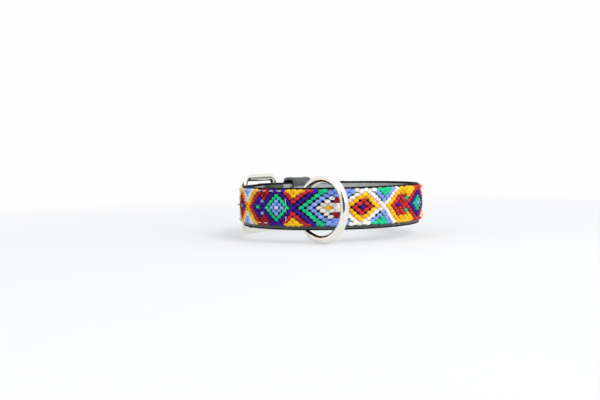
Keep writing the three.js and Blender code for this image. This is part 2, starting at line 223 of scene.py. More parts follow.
def loft(rings, closed_line=False):
    """Points and faces through equal rings of points, capped at both ends unless the line is closed."""
    sides = len(rings[0])
    points = [point for ring in rings for point in ring]
    faces = []
    spans = len(rings) if closed_line else len(rings) - 1
    for ring in range(spans):
        here, there = ring * sides, (ring + 1) % len(rings) * sides
        for side in range(sides):
            beside = (side + 1) % sides
            faces.append((here + side, here + beside, there + beside, there + side))
    if not closed_line:
        faces.append(tuple(reversed(range(sides))))
        last = (len(rings) - 1) * sides
        faces.append(tuple(range(last, last + sides)))
    return points, faces


def outward_faces(piece):
    """Turns a closed piece's faces outward."""
    shape = bmesh.new()
    shape.from_mesh(piece.data)
    bmesh.ops.recalc_face_normals(shape, faces=shape.faces)
    shape.to_mesh(piece.data)
    shape.free()


CORNER_SHARE = 0.98


def rounded_section(wide, thick, corner, corner_steps=4, face_steps=6):
    """A rounded rectangle round the origin, as (across, up) pairs."""
    corner = min(corner, wide / 2 * CORNER_SHARE, thick / 2 * CORNER_SHARE)
    outline = []
    for turn, (sx, sy) in enumerate(((1, 1), (-1, 1), (-1, -1), (1, -1))):
        cx, cy = sx * (wide / 2 - corner), sy * (thick / 2 - corner)
        for step in range(corner_steps + 1):
            angle = math.pi / 2 * (turn + step / corner_steps)
            outline.append((cx + corner * math.cos(angle), cy + corner * math.sin(angle)))
        if turn % 2 == 0:
            for step in range(1, face_steps):
                reach = (wide / 2 - corner) * (1 - 2 * step / face_steps)
                outline.append((sx * reach, sy * thick / 2))
    return outline


STEEP = 0.2
TUBE_END_SHARES = ((0.35, 0.93), (0.75, 0.66), (1.0, 0.15))


def tube(path, radius, sides=8):
    """A round thread along a path, with rounded ends."""
    stations = []
    count = len(path)
    for place, point in enumerate(path):
        tangent = (path[min(place + 1, count - 1)] - path[max(place - 1, 0)]).normalized()
        side = tangent.cross(Vector((0, 0, 1)))
        if side.length < STEEP:
            side = tangent.cross(Vector((1, 0, 0)))
        side.normalize()
        stations.append((point, tangent, side, side.cross(tangent)))
    lofted = [(point, 1, side, up) for point, _, side, up in stations]
    for shift, share in TUBE_END_SHARES:
        point, tangent, side, up = stations[0]
        lofted.insert(0, (point - tangent * radius * shift, share, side, up))
        point, tangent, side, up = stations[-1]
        lofted.append((point + tangent * radius * shift, share, side, up))
    sections = []
    for point, share, side, up in lofted:
        ring = []
        for angle in circle(sides):
            ring.append(point + (side * math.cos(angle) + up * math.sin(angle)) * radius * share)
        sections.append(ring)
    return loft(sections)


def merge(parts):
    points, faces = [], []
    for more_points, more_faces in parts:
        start = len(points)
        points += more_points
        faces += [tuple(start + corner for corner in face) for face in more_faces]
    return points, faces


# Materials


def srgb(red, green, blue):
    def linear(value):
        value /= 255
        return value / 12.92 if value <= 0.04045 else ((value + 0.055) / 1.055) ** 2.4

    return linear(red), linear(green), linear(blue), 1


class Tree:
    """A node tree, the coordinates its textures use, and the kinds of node needed here."""

    def __init__(self, tree, place):
        self.tree = tree
        self.place = self.add("ShaderNodeTexCoord").outputs[place]

    def add(self, kind, inputs=None, **settings):
        node = self.tree.nodes.new(kind)
        for key, value in settings.items():
            setattr(node, key, value)
        self.fill(node, inputs or {})
        return node

    def fill(self, node, inputs):
        """Sets a node's inputs to values, or links them to other nodes' outputs."""
        for key, value in inputs.items():
            if isinstance(value, bpy.types.NodeSocket):
                self.tree.links.new(value, node.inputs[key])
            else:
                node.inputs[key].default_value = value

    def noise(self, scale, detail=4, roughness=0.55):
        inputs = {"Vector": self.place, "Scale": scale, "Detail": detail, "Roughness": roughness}
        return self.add("ShaderNodeTexNoise", inputs).outputs["Fac"]

    def voronoi(self, scale):
        inputs = {"Vector": self.place, "Scale": scale}
        return self.add("ShaderNodeTexVoronoi", inputs, feature="F1").outputs["Distance"]

    def ramp(self, factor, stops):
        node = self.add("ShaderNodeValToRGB", {"Fac": factor})
        elements = node.color_ramp.elements
        while len(elements) < len(stops):
            elements.new(0.5)
        for element, (position, colour) in zip(elements, stops):
            element.position = position
            element.color = colour
        return node.outputs["Color"]

    def span(self, factor, low, high, start, end):
        inputs = {"Value": factor, "From Min": low, "From Max": high, "To Min": start, "To Max": end}
        return self.add("ShaderNodeMapRange", inputs).outputs["Result"]

    def maths(self, operation, first, second):
        node = self.add("ShaderNodeMath", {0: first, 1: second}, operation=operation)
        return node.outputs["Value"]

    def weigh(self, first, second, share=0.6):
        parts = self.maths("MULTIPLY", first, share), self.maths("MULTIPLY", second, 1 - share)
        return self.maths("ADD", *parts)

    def bump(self, height, strength, distance):
        inputs = {"Height": height, "Strength": strength, "Distance": distance}
        return self.add("ShaderNodeBump", inputs).outputs["Normal"]

    def light(self, kind, colour, strength):
        return self.add(kind, {"Color": colour, "Strength": strength}).outputs[0]

    def mix(self, factor, first, second):
        return self.add("ShaderNodeMixShader", {0: factor, 1: first, 2: second}).outputs["Shader"]

    def sight(self):
        """How far the surface itself is seen, by the camera or in metal, and in metal alone."""
        path = self.add("ShaderNodeLightPath").outputs
        mirrored = path["Is Glossy Ray"]
        return self.maths("MAXIMUM", path["Is Camera Ray"], mirrored), mirrored


class Nodes(Tree):
    """A material's node tree with a Principled shader."""

    def __init__(self, name, roughness=0.5, metallic=0.0):
        self.material = bpy.data.materials.new(name)
        self.material.use_nodes = True
        super().__init__(self.material.node_tree, "Object")
        self.shader = self.tree.nodes["Principled BSDF"]
        self.set(Roughness=roughness, Metallic=metallic)

    def set(self, **sockets):
        self.fill(self.shader, {key.replace("_", " "): value for key, value in sockets.items()})
        return self.material


def shade(colour, factor):
    return tuple(min(1, channel * factor) for channel in colour[:3]) + (1,)


def leather_material(name, colour, roughness, grain, relief, shine, spread=0.28):
    nodes = Nodes(name)
    tone = nodes.noise(90, detail=5)
    cloud = nodes.noise(25, detail=2)
    darker, lighter = shade(colour, 1 - spread), shade(colour, 1 + 1.7 * spread)
    base = nodes.ramp(nodes.weigh(tone, cloud), ((0.3, darker), (0.52, colour), (0.75, lighter)))
    pores = nodes.voronoi(grain)
    creases = nodes.noise(grain * 0.6, detail=6)
    height = nodes.maths("ADD", nodes.maths("MULTIPLY", pores, 0.7), creases)
    rough = nodes.span(tone, 0.3, 0.7, roughness - 0.07, roughness + 0.1)
    nodes.set(Base_Color=base, Roughness=rough, Normal=nodes.bump(height, relief, 0.00025))
    return nodes.set(Specular_IOR_Level=shine)


def thread_material(name, colour, shine=0.12):
    nodes = Nodes(name)
    island = nodes.add("ShaderNodeNewGeometry").outputs["Random Per Island"]
    fuzz = nodes.noise(2600, detail=3)
    tone = nodes.weigh(island, fuzz)
    base = nodes.ramp(tone, [(0.15, shade(colour, 0.74)), (0.5, colour), (0.9, shade(colour, 1.22))])
    strands = nodes.noise(1500, detail=4, roughness=0.7)
    nodes.set(Base_Color=base, Normal=nodes.bump(strands, 0.55, 0.0002))
    return nodes.set(Roughness=0.6, Specular_IOR_Level=shine)


def nickel_material():
    nodes = Nodes("polished_nickel", metallic=1.0)
    cloud = nodes.noise(60, detail=3)
    base = nodes.ramp(cloud, [(0.3, srgb(232, 229, 219)), (0.7, srgb(246, 244, 236))])
    wear = nodes.noise(400, detail=6, roughness=0.7)
    rough = nodes.span(wear, 0.35, 0.7, 0.07, 0.2)
    waves = nodes.noise(90, detail=2)
    return nodes.set(Base_Color=base, Roughness=rough, Normal=nodes.bump(waves, 0.06, 0.0006))


BLACK = leather_material(
    "black_leather_grain", srgb(84, 88, 88), roughness=0.5, grain=2200, relief=0.35, shine=0.3
)
EDGE = leather_material(
    "burnished_edge", srgb(30, 33, 34), roughness=0.8, grain=900, relief=0.25, shine=0.05
)
GREY = leather_material(
    "grey_lining_nap", srgb(172, 178, 175), roughness=0.78, grain=1500, relief=0.5, shine=0.3, spread=0.12
)
NICKEL = nickel_material()
DYES = {
    "W": ("ivory", srgb(246, 241, 232)),
    "B": ("periwinkle", srgb(136, 166, 246)),
    "G": ("green", srgb(34, 200, 136)),
    "P": ("purple", srgb(66, 22, 140)),
    "R": ("crimson", srgb(196, 50, 56)),
    "D": ("dark_red", srgb(166, 34, 42)),
    "O": ("orange", srgb(255, 192, 34)),
    "Y": ("yellow", srgb(250, 190, 30)),
}
THREADS = {key: thread_material("cotton_" + name, colour) for key, (name, colour) in DYES.items()}
PALE = "WOY"
# The cloth seen between the knots gets painted shade: each thread colour darkened to 0.28 (the pale ones
# to 0.6), and a near-black painted shadow for gaps between knots of different colours
PALE_GAP_SHADE_FACTOR, GAP_SHADE_FACTOR = 0.6, 0.28
GAP_SHADES = {
    key: thread_material("ground_" + name, shade(colour, PALE_GAP_SHADE_FACTOR if key in PALE else GAP_SHADE_FACTOR), 0.0)
    for key, (name, colour) in DYES.items()
}
GAP_SHADES["deep_shadow"] = thread_material("ground_deep", srgb(22, 20, 30), 0.0)
PAPER_WHITE = srgb(253, 253, 254)
WHITE_THREAD = thread_material("white_waxed_thread", srgb(228, 218, 214))
DARK_THREAD = thread_material("dark_waxed_thread", srgb(92, 95, 96))


# The strap's two layers

EDGE_MARGIN = 0.9
LINING_MARGIN = 1.3
PAST_MARGIN = 1.001
SECTION_FACE_SHARES = (1, 0.6, 0.2, -0.2, -0.6, -1)
SECTION_CORNER_STEPS = 4
FLAP_PITCH, LEATHER_PITCH, LINING_PITCH = 0.8, 1, 1.2
LEATHER_CORNER = 0.45
LINING_CORNER = 0.3
GLUE_FILLED = 0.9
LINED_FLAP_GAP = 7
FOLD_STEPS = 20


def layer_section(half, thickness, corner, margin):
    """An upright layer's section, as (up, outward) pairs, and what each of its sides is: 0 for the
    outer face, 1 for an edge and 2 for the inner face."""
    margin = min(margin, half / 2)
    corner = min(corner, CORNER_SHARE * thickness / 2, margin)
    outline = []
    for turn, (up, out) in enumerate(((1, 1), (-1, 1), (-1, -1), (1, -1))):
        for step in range(SECTION_CORNER_STEPS + 1):
            angle = math.pi / 2 * (turn + step / SECTION_CORNER_STEPS)
            rise = up * (half - corner) + corner * math.cos(angle)
            outline.append((rise, out * (thickness / 2 - corner) + corner * math.sin(angle)))
        if turn % 2 == 0:
            for share in SECTION_FACE_SHARES:
                outline.append((up * share * (half - margin * PAST_MARGIN), out * thickness / 2))
    kinds = []
    for (up, out), (next_up, _) in zip(outline, outline[1:] + outline[:1]):
        kinds.append(1 if abs(up + next_up) / 2 > half - margin else 0 if out > 0 else 2)
    return outline, kinds


def strap_layer(line, thickness, corner, margin):
    """An upright layer along a line of (point, outward) pairs, with rounded edges."""
    rings = []
    for (point, outward), half in zip(line, half_widths(line)):
        section, _ = layer_section(half, thickness, corner, margin)
        rings.append([point + outward * height + Vector((0, 0, CENTRE + z)) for z, height in section])
    _, sides = layer_section(STRAP_WIDTH / 2, thickness, corner, margin)
    return loft(rings), sides, sides * (len(line) - 1) + [1, 1]


def layer_line(start, end, height, pitch):
    line = []
    for along in steps(start, end, pitch):
        point, _, outward = neck_face(along)
        line.append((point + outward * height, outward))
    return line


def with_normals(plan):
    """(point, outward) pairs from points in plan, outward to the left of the way they run."""
    line = []
    for place, point in enumerate(plan):
        before = plan[max(0, place - 1)]
        after = plan[min(len(plan) - 1, place + 1)]
        forward = (after - before).normalized()
        line.append((point, Vector((-forward.y, forward.x, 0))))
    return line


def leather_plan():
    plan = []
    drop = BAR_HEIGHT - FOLD_RADIUS - FLAP_MID
    for along in steps(FLAP_LENGTH, 0, FLAP_PITCH)[:-1]:
        plan.append(bend(along, FLAP_MID + drop * (1 - ease(along / FOLD_BLEND)), 0))
    for step in range(FOLD_STEPS):
        angle = math.pi * step / FOLD_STEPS
        ahead = -FOLD_RADIUS * math.sin(angle)
        plan.append(bend(ahead, BAR_HEIGHT - FOLD_RADIUS * math.cos(angle), 0))
    for along in steps(0, STRAP_END, LEATHER_PITCH):
        point, _, outward = neck_face(along)
        plan.append(point + outward * LEATHER_MID)
    return plan


def tip_half_width(length_left):
    if length_left >= TIP_LENGTH:
        return STRAP_WIDTH / 2
    share = 1 - max(TIP_LEAST_SHARE, length_left / TIP_LENGTH)
    return STRAP_WIDTH / 2 * math.sqrt(max(0.0, 1 - share * share))


def path_lengths(line):
    lengths = [0.0]
    for (before, _), (after, _) in zip(line, line[1:]):
        lengths.append(lengths[-1] + (after - before).length)
    return lengths


def half_widths(line):
    """Half the strap's width at each place of a line that ends at the tip."""
    lengths = path_lengths(line)
    return [tip_half_width(lengths[-1] - length) for length in lengths]


def cylinder_cutter(along, low, high, radius, sides=40):
    point, forward, outward = neck_face(along)
    rings = []
    for height in (low, high):
        centre = point + outward * height + Vector((0, 0, CENTRE))
        ring = []
        for angle in circle(sides):
            up = Vector((0, 0, radius * math.sin(angle)))
            ring.append(centre + forward * radius * math.cos(angle) + up)
        rings.append(ring)
    return loft(rings)


PRONG_SHARES = (
    0, 0.06, 0.12, 0.18, 0.25, 0.32, 0.4, 0.48, 0.56,
    0.64, 0.72, 0.8, 0.86, 0.91, 0.95, 0.975, 0.99, 1,
)
PRONG_SINK = 0.05
OVERRUN = 1
SLOT_CORNER_SHARE = 0.9
TAPER_START_SHARE, TAPER_LENGTH_SHARE, TAPER_SHARE = 0.7, 0.3, 0.06
POINT_START_SHARE, POINT_LENGTH_SHARE, POINT_SHARE, POINT_LEAST_SHARE = 0.9, 0.1, 0.92, 0.08


def prong_height(ahead):
    root = BAR_HEIGHT + BAR_RADIUS + CLEARANCE + PRONG / 2 - PRONG_SINK
    tip = BAR_HEIGHT + FRAME_RISE + FRAME_THICKNESS / 2 + CLEARANCE + PRONG / 2
    return root + (tip - root) * ease(ahead / FRAME_LENGTH)


def prong_radius(share):
    """The prong thins a little towards its end, which is blunt."""
    point = max(0.0, (share - POINT_START_SHARE) / POINT_LENGTH_SHARE)
    blunt = math.sqrt(max(POINT_LEAST_SHARE, 1 - POINT_SHARE * point**3))
    taper = 1 - TAPER_SHARE * ease((share - TAPER_START_SHARE) / TAPER_LENGTH_SHARE)
    return PRONG / 2 * blunt * taper


def prong_arm(grow, sides=20):
    reach = FRAME_LENGTH + PRONG_OVERHANG
    rings = []
    for share in PRONG_SHARES:
        ahead = share * reach
        radius = prong_radius(share) + grow
        end = grow if share == 1 else 0
        ring = []
        for angle in circle(sides):
            height = prong_height(ahead) + radius * math.cos(angle)
            ring.append(bend(-(ahead + end), height, CENTRE + radius * math.sin(angle)))
        rings.append(ring)
    return loft(rings)


def turned(part, degrees):
    """Turns points about the heel bar, outward for a positive angle."""
    points, faces = part
    bar = bend(0, BAR_HEIGHT, 0)
    rotation = Matrix.Rotation(math.radians(-degrees), 3, "Z")
    return [bar + rotation @ (point - bar) for point in points], faces


def slot_cutter():
    reach = FOLD_RADIUS + LEATHER / 2
    ahead, behind = reach + OVERRUN, reach + CLEARANCE
    low, high = BAR_HEIGHT - reach - OVERRUN, FOLD_TOP + CLEARANCE / 2
    half = PRONG_COLLAR_WIDTH / 2 + CLEARANCE
    rings = []
    for height in (low, high):
        outline = rounded_section(ahead + behind, 2 * half, half * SLOT_CORNER_SHARE, 6, 2)
        rings.append([bend((behind - ahead) / 2 + x, height, CENTRE + z) for x, z in outline])
    return loft(rings)


SHARP_ANGLE = 50


def cut(piece, cutters):
    """Takes closed shapes out of a piece."""
    made = []
    for number, shape in enumerate(cutters):
        mesh = mesh_of("cutter", shape)
        mesh.update()
        cutter = add_object("cutter_%d" % number, mesh)
        outward_faces(cutter)
        change = piece.modifiers.new("cut", "BOOLEAN")
        change.operation = "DIFFERENCE"
        change.solver = "EXACT"
        change.object = cutter
        made.append(cutter)
    bpy.context.view_layer.update()
    depsgraph = bpy.context.evaluated_depsgraph_get()
    mesh = bpy.data.meshes.new_from_object(piece.evaluated_get(depsgraph))
    piece.modifiers.clear()
    old = piece.data
    piece.data = mesh
    bpy.data.meshes.remove(old)
    mesh.set_sharp_from_angle(angle=math.radians(SHARP_ANGLE))
    for cutter in made:
        shape = cutter.data
        bpy.data.objects.remove(cutter)
        bpy.data.meshes.remove(shape)


def hole_cutters():
    places = [LOOP - PRONG_HOLE + (hole - 1) * HOLE_PITCH for hole in range(HOLE_COUNT)]
    low, high = -THREAD - CLEARANCE, LEATHER_OUT + OVERRUN
    return [cylinder_cutter(along, low, high, HOLE / 2) for along in places]


def prong_cutters():
    return [turned(prong_arm(CLEARANCE), angle) for angle in (0, PRONG_LIFT / 2, PRONG_LIFT)]


def build_leather():
    line = with_normals(leather_plan())
    shape, sides, kinds = strap_layer(line, LEATHER, LEATHER_CORNER, EDGE_MARGIN)
    # The flap is lined too. The line runs the other way there, so its outer side is to the neck
    for span, length in enumerate(path_lengths(line)):
        if length < FLAP_LENGTH - LINED_FLAP_GAP:
            for side, kind in enumerate(sides):
                if kind == 0:
                    kinds[span * len(sides) + side] = 3
    materials = [BLACK, EDGE, BLACK, GREY]
    piece = make("strap_hide", shape, "strap", materials, kinds)
    cut(piece, hole_cutters() + [slot_cutter()] + prong_cutters())
    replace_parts(piece, "strap_leather")


def build_lining():
    start = FLAP_LENGTH + CLEARANCE
    thickness = LINING + GLUE * GLUE_FILLED
    line = layer_line(start, STRAP_END, thickness / 2, LINING_PITCH)
    shape, _, kinds = strap_layer(line, thickness, LINING_CORNER, LINING_MARGIN)
    piece = make("strap_inner_face", shape, "strap", [GREY, EDGE, GREY], kinds)
    cut(piece, hole_cutters() + prong_cutters())
    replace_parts(piece, "strap_lining")


# The knotted band: a lattice of knots, thirteen rows high, in a row of motifs between crossings

ROWS = 13
MIDDLE_ROW = 6
ROW_SPREAD = 0.12
EDGE_ROOM = 0.95
ROW_PITCH = (BAND_TOP - BAND_BOTTOM - 2 * EDGE_ROOM) / (ROWS - 1)
BAND_MIDDLE = (BAND_TOP + BAND_BOTTOM) / 2
OUTER_RADIUS = NECK_RADIUS + BAND_OUT

# Each motif, from left to right seen from outside: its kind, the columns it spans, its width in
# millimetres, its inner colours, and the arm, outline and fill colours of the crossing on its right
LEFT_START = -108.0
MOTIFS = [
    ("field", 10, 20.4, "GPRB", "O", "W", "B"),
    ("diamond", 12, 22.3, "GPR", "O", "W", "B"),
    # The crossing on this field's right is outlined and filled in dark red: crimson with painted shade,
    # for the shadow that falls on this end of the band
    ("field", 8, 16.6, "RPGB", "P", "D", "D"),
    ("diamond", 12, 23.4, "WBG", "P", "R", "Y"),
    ("flower", 12, 28.5, "GBWOD", "W", "B", "B"),
    ("diamond", 12, 28.3, "PRO", "W", "B", "G"),
    ("field", 10, 19.6, "ORPG", "R", "O", "O"),
    ("diamond", 12, 32.0, "BGP", "R", "W", "Y"),
    ("field", 10, 21.0, "GWRO", "B", "G", "G"),
    ("diamond", 12, 25.0, "OWP", "B", "O", "Y"),
    ("field", 10, 21.0, "PRGW", "O", "P", "P"),
    ("diamond", 12, 25.0, "GBW", "O", "R", "Y"),
    ("field", 10, 21.0, "WPOG", "P", "W", "B"),
]
FIRST_CROSSING = ("G", "W", "B")
FLOWER_PITCH = 2.68
FLOWER_COLUMNS = 10
SKEWED_MOTIF = 5
SKEW = 0.9
DIAMOND_BOW = 1.0
FIELD_BOW = 2.6
BOW_POWER = 1.5
LEAN_MIDDLE, LEAN_GROWTH, LEAST_LEAN, MOST_LEAN = 1.1, 0.02, 0.3, 1.7


def crossings():
    """(column, arc place, arm, outline, fill) of each crossing, columns counted from the left."""
    column, place = 0, LEFT_START
    found = [(column, place) + FIRST_CROSSING]
    for _, columns, width, _, arm, outline, fill in MOTIFS:
        column += columns
        place += width
        found.append((column, place, arm, outline, fill))
    return found


CROSSINGS = crossings()


def motif_at(column):
    for number in range(len(MOTIFS)):
        if column < CROSSINGS[number + 1][0]:
            return number
    return len(MOTIFS) - 1


def knot_colour(column, row):
    number = motif_at(column)
    kind, columns, _, colours = MOTIFS[number][:4]
    left, right = CROSSINGS[number], CROSSINGS[number + 1]
    rise = abs(row - MIDDLE_ROW)
    after, before = column - left[0], right[0] - column
    left_kind = MOTIFS[number - 1][0] if number else "diamond"
    if kind == "diamond":
        depth = min(after, before) - rise
        if depth >= 0:
            rings = {0: left[2] if after < before else right[2]}
            for level, colour in enumerate(reversed(colours)):
                rings[2 * level + 2] = colour
            return rings[depth]
        side = left if after < before else right
        if depth == -2 and rise == MIDDLE_ROW:
            return side[2]
        if after < before and left_kind != "diamond":
            if after == 0 and rise == 2:
                return MOTIFS[number - 1][3][3 if left_kind == "field" else 4]
            return side[3]
        return side[3] if depth == -2 else side[4]
    if rise > after:
        return left[3] if rise - after == 2 else left[4]
    if rise == after:
        return left[2]
    if after - rise == 2:
        return colours[0]
    if kind == "flower":
        if after - rise == 4:
            return colours[1]
        if rise >= 4:
            return right[3]
        around = abs(after - 8) + rise
        if around == 0:
            return colours[3]
        if around == 2:
            return colours[2]
        return colours[4] if after >= 10 and rise in (2, 3) else colours[2]
    if rise >= 4:
        return right[3]
    if before == 0 and rise == 2:
        return colours[3]
    if rise == 0 and before == (2 if columns == 8 else 4):
        return colours[2]
    if before <= rise:
        return right[2]
    return colours[1]


def column_place(column, row):
    """A knot's place along the band's face from the front, to the right seen from outside."""
    number = motif_at(column)
    kind, columns, width = MOTIFS[number][:3]
    after = column - CROSSINGS[number][0]
    phase = after / columns
    place = CROSSINGS[number][1] + width * phase
    if kind == "flower":
        # Evenly spaced up to the last columns, which close up on the crossing
        opened = FLOWER_PITCH * FLOWER_COLUMNS
        closing = (after - FLOWER_COLUMNS) / (columns - FLOWER_COLUMNS)
        if after <= FLOWER_COLUMNS:
            place = CROSSINGS[number][1] + FLOWER_PITCH * after
        else:
            place = CROSSINGS[number][1] + opened + (width - opened) * closing
    rise = abs(row - MIDDLE_ROW) / MIDDLE_ROW
    if kind == "diamond":
        place -= DIAMOND_BOW * rise**BOW_POWER * math.sin(2 * math.pi * phase)
    else:
        place -= FIELD_BOW * rise**BOW_POWER * math.sin(math.pi * phase)
    lean = min(MOST_LEAN, max(LEAST_LEAN, LEAN_MIDDLE + LEAN_GROWTH * place))
    if number == SKEWED_MOTIF:
        lean += SKEW * math.sin(math.pi * phase)
    return place + lean * (MIDDLE_ROW - row) / MIDDLE_ROW


def along_of(place):
    return FRONT - place * PATH_RADIUS / OUTER_RADIUS


def row_height(rise):
    """A row's height from the middle row, in rows: the outer rows lie closer together."""
    share = abs(rise) / MIDDLE_ROW
    return rise * (1 + ROW_SPREAD * (1 - share**4))


def band_half_height(along):
    """Half the band's height, less where its ends are rounded."""
    left = min(along - BAND_START, BAND_END - along)
    half = (BAND_TOP - BAND_BOTTOM) / 2
    if left >= BAND_END_ROUNDING:
        return half
    if left <= 0:
        return 0
    return half * math.sqrt(1 - (1 - left / BAND_END_ROUNDING) ** 2)


BEAN_PLACES = (-0.99, -0.9, -0.72, -0.46, -0.22, 0.0, 0.22, 0.46, 0.72, 0.9, 0.99)
BEAN_SIDES = 10
BEAN_FULLNESS = 2.8
BEAN_WAIST, BEAN_WAIST_REACH = 0.12, 0.22
BEAN_SLANT = 0.14
KNOT_TILT = 4
KNOT_HALF_HEIGHT = 1.24
KNOT_STAND = 1.3
KNOT_SUNK = 1.2
NOTCH_KNOT = 0.66
KNOT_ROOM = 0.6
KNOT_REACH_SHARE = 0.52
KNOT_OVERLAP = 0.42
SHIFT_ALONG, SHIFT_UP, SHIFT_OUT = 0.12, 0.1, 0.08
LEAST_GROWTH, MOST_GROWTH = 0.95, 1.06
TIP_DEGREES = 5


def bean():
    """A knot of two wraps side by side, one unit to each side of the origin."""
    rings = []
    for x in BEAN_PLACES:
        waist = 1 - BEAN_WAIST * math.exp(-((x / BEAN_WAIST_REACH) ** 2))
        girth = math.sqrt(1 - abs(x) ** BEAN_FULLNESS) * waist
        ring = []
        for angle in circle(BEAN_SIDES):
            y, z = girth * math.cos(angle), girth * math.sin(angle)
            ring.append(Vector((x + BEAN_SLANT * y, y, z)))
        rings.append(ring)
    return loft(rings)


def build_knots():
    draw = random.Random(SEED)
    bean_points, bean_faces = bean()
    keys = list(THREADS)
    points, faces, kinds = [], [], []
    for column in range(1, CROSSINGS[-1][0]):
        number = motif_at(column)
        kind, columns, span = MOTIFS[number][:3]
        spacing = FLOWER_PITCH if kind == "flower" else span / columns
        after, before = column - CROSSINGS[number][0], CROSSINGS[number + 1][0] - column
        for row in range(ROWS):
            shift_along = draw.uniform(-SHIFT_ALONG, SHIFT_ALONG)
            shift_up = draw.uniform(-SHIFT_UP, SHIFT_UP)
            grow = draw.uniform(LEAST_GROWTH, MOST_GROWTH)
            tip = draw.uniform(-TIP_DEGREES, TIP_DEGREES)
            shift_out = draw.uniform(-SHIFT_OUT, SHIFT_OUT)
            source = column
            if (column + row) % 2:
                # Only smaller knots, which fill the notches of the two outer rows in the colour of
                # the next knot away from the motif's middle
                if row not in (0, ROWS - 1):
                    continue
                grow *= NOTCH_KNOT
                source = column - 1 if after <= before else column + 1
            along = along_of(column_place(column, row) + shift_along)
            z = BAND_MIDDLE + row_height(MIDDLE_ROW - row) * ROW_PITCH
            if abs(z - BAND_MIDDLE) > band_half_height(along) - KNOT_ROOM:
                continue
            if along < BAND_START + KNOT_ROOM or along > BAND_END - KNOT_ROOM:
                continue
            centre = on_strap(along, BAND_OUT - KNOT_SUNK + shift_out, z + shift_up)
            _, forward, outward = neck_face(along)
            right = -forward
            up = Vector((0, 0, 1))
            way = 1 if (after <= before) == (row <= MIDDLE_ROW) else -1
            lean = math.radians(way * KNOT_TILT + tip)
            length = right * math.cos(lean) + up * math.sin(lean)
            across = up * math.cos(lean) - right * math.sin(lean)
            reach = (KNOT_REACH_SHARE * spacing + KNOT_OVERLAP) * grow
            start = len(points)
            for x, y, height in bean_points:
                width = across * y * way * KNOT_HALF_HEIGHT * grow
                points.append(centre + length * x * reach + width + outward * height * KNOT_STAND)
            faces += [tuple(start + corner for corner in face) for face in bean_faces]
            kinds += [keys.index(knot_colour(source, row))] * len(bean_faces)
    materials = [THREADS[key] for key in keys]
    piece = make("knots", (points, faces), "strap", materials, kinds)
    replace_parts(piece, "knotted_band")


GROUND_INSET = 0.5
GROUND_DEPTH = 1.15
GROUND_PITCH = 1.1
GROUND_LEAST_HALF = 0.8


def build_shaded_ground():
    """The cloth that the knots make up, seen in the gaps between them, in painted shade: darker copies of
    the knots' colours, and a near-black painted shadow between knots of different colours.
    """
    keys = list(GAP_SHADES)
    low, high = BAND_IN - GLUE, BAND_OUT - GROUND_DEPTH
    alongs = steps(BAND_START + GROUND_INSET, BAND_END - GROUND_INSET, GROUND_PITCH)
    rings, kinds = [], []
    for along in alongs:
        half = max(GROUND_LEAST_HALF, band_half_height(along) - GROUND_INSET)
        limits = [half * row_height(ROWS / 2 - row) / row_height(ROWS / 2) for row in range(ROWS + 1)]
        ring = [on_strap(along, high, BAND_MIDDLE + limit) for limit in limits]
        ring += [on_strap(along, low, BAND_MIDDLE + limit) for limit in reversed(limits)]
        rings.append(ring)
    sides = len(rings[0])
    # Where each row's knots lie and their colours
    knots = []
    for row in range(ROWS):
        columns = range(row % 2, CROSSINGS[-1][0], 2)
        places = [along_of(column_place(column, row)) for column in columns]
        knots.append(list(zip(places, [knot_colour(column, row) for column in columns])))
    # Each gap takes painted shade from its row's two nearest knots: a darker copy of their colour where
    # they match or are both pale, else the near-black painted shadow
    for ring in range(len(rings) - 1):
        along = (alongs[ring] + alongs[ring + 1]) / 2
        for side in range(sides):
            row = min(side, ROWS - 1) if side < ROWS else MIDDLE_ROW
            nearest = sorted(knots[row], key=lambda knot: abs(knot[0] - along))[:2]
            first, second = nearest[0][1], nearest[1][1]
            alike = first == second or (first in PALE and second in PALE)
            kinds.append(keys.index(first if alike else "deep_shadow"))
    kinds += [0, 0]
    materials = [GAP_SHADES[key] for key in keys]
    piece = make("knot_gaps_painted_shade", loft(rings), "strap", materials, kinds)
    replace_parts(piece, "knotted_band")


# Threads

STITCH = 5
STITCH_SINK = 0.9
STITCH_SHALLOW = 0.3
STITCH_STAND_SHARE = 0.2
STITCH_START_SHARE, STITCH_END_SHARE = 0.2, 0.75
STITCH_TURN = 0.35
STITCH_TURN_SHARES = ((0.2, 1), (0.5, 0.3), (1.6, 0))
INNER_STITCH_GAP = 0.1
SEAM_MARGIN = 2.8
SEAM_END_MARGIN = 6
FRONT_SEAM_OFFSET = 28
EDGE_ROW_GAP, FRONT_ROW_START, LOWER_ROW_START = 1, 2, 10
RIGHT_ROW_LENGTH = 61
LOWER_ROW_MARGIN, UPPER_ROW_MARGIN = 1.4, 0.8
FOLD_SEAMS = (("fold_seam_near", 11.5), ("fold_seam_far", 25.5))


def cross_seam(along, inner, outer, bottom, top, thickness):
    """A running stitch up the strap's width, on both faces."""
    spans = 2 * int((top - bottom) / STITCH)
    places = [bottom + (top - bottom) * k / spans for k in range(spans + 1)]
    parts = []
    for number, (low, high) in enumerate(zip(places, places[1:])):
        if number % 2 == 0:
            height, away = outer + thickness * STITCH_STAND_SHARE, -STITCH_SINK
        else:
            height, away = inner - THREAD / 2 - INNER_STITCH_GAP, STITCH_SINK
        dives = [(STITCH_TURN * reach, height + away * sunk) for reach, sunk in STITCH_TURN_SHARES]
        path = [on_strap(along, depth, low + reach) for reach, depth in dives]
        path.append(on_strap(along, height, (low + high) / 2))
        path += [on_strap(along, depth, high - reach) for reach, depth in reversed(dives)]
        parts.append(tube(path, thickness / 2))
    return parts


STITCH_DIVE = (
    (0, STITCH_SINK), (0.1, STITCH_SHALLOW), (0.25, 0), (0.5, -0.05),
    (0.75, 0), (0.9, STITCH_SHALLOW), (1, STITCH_SINK),
)


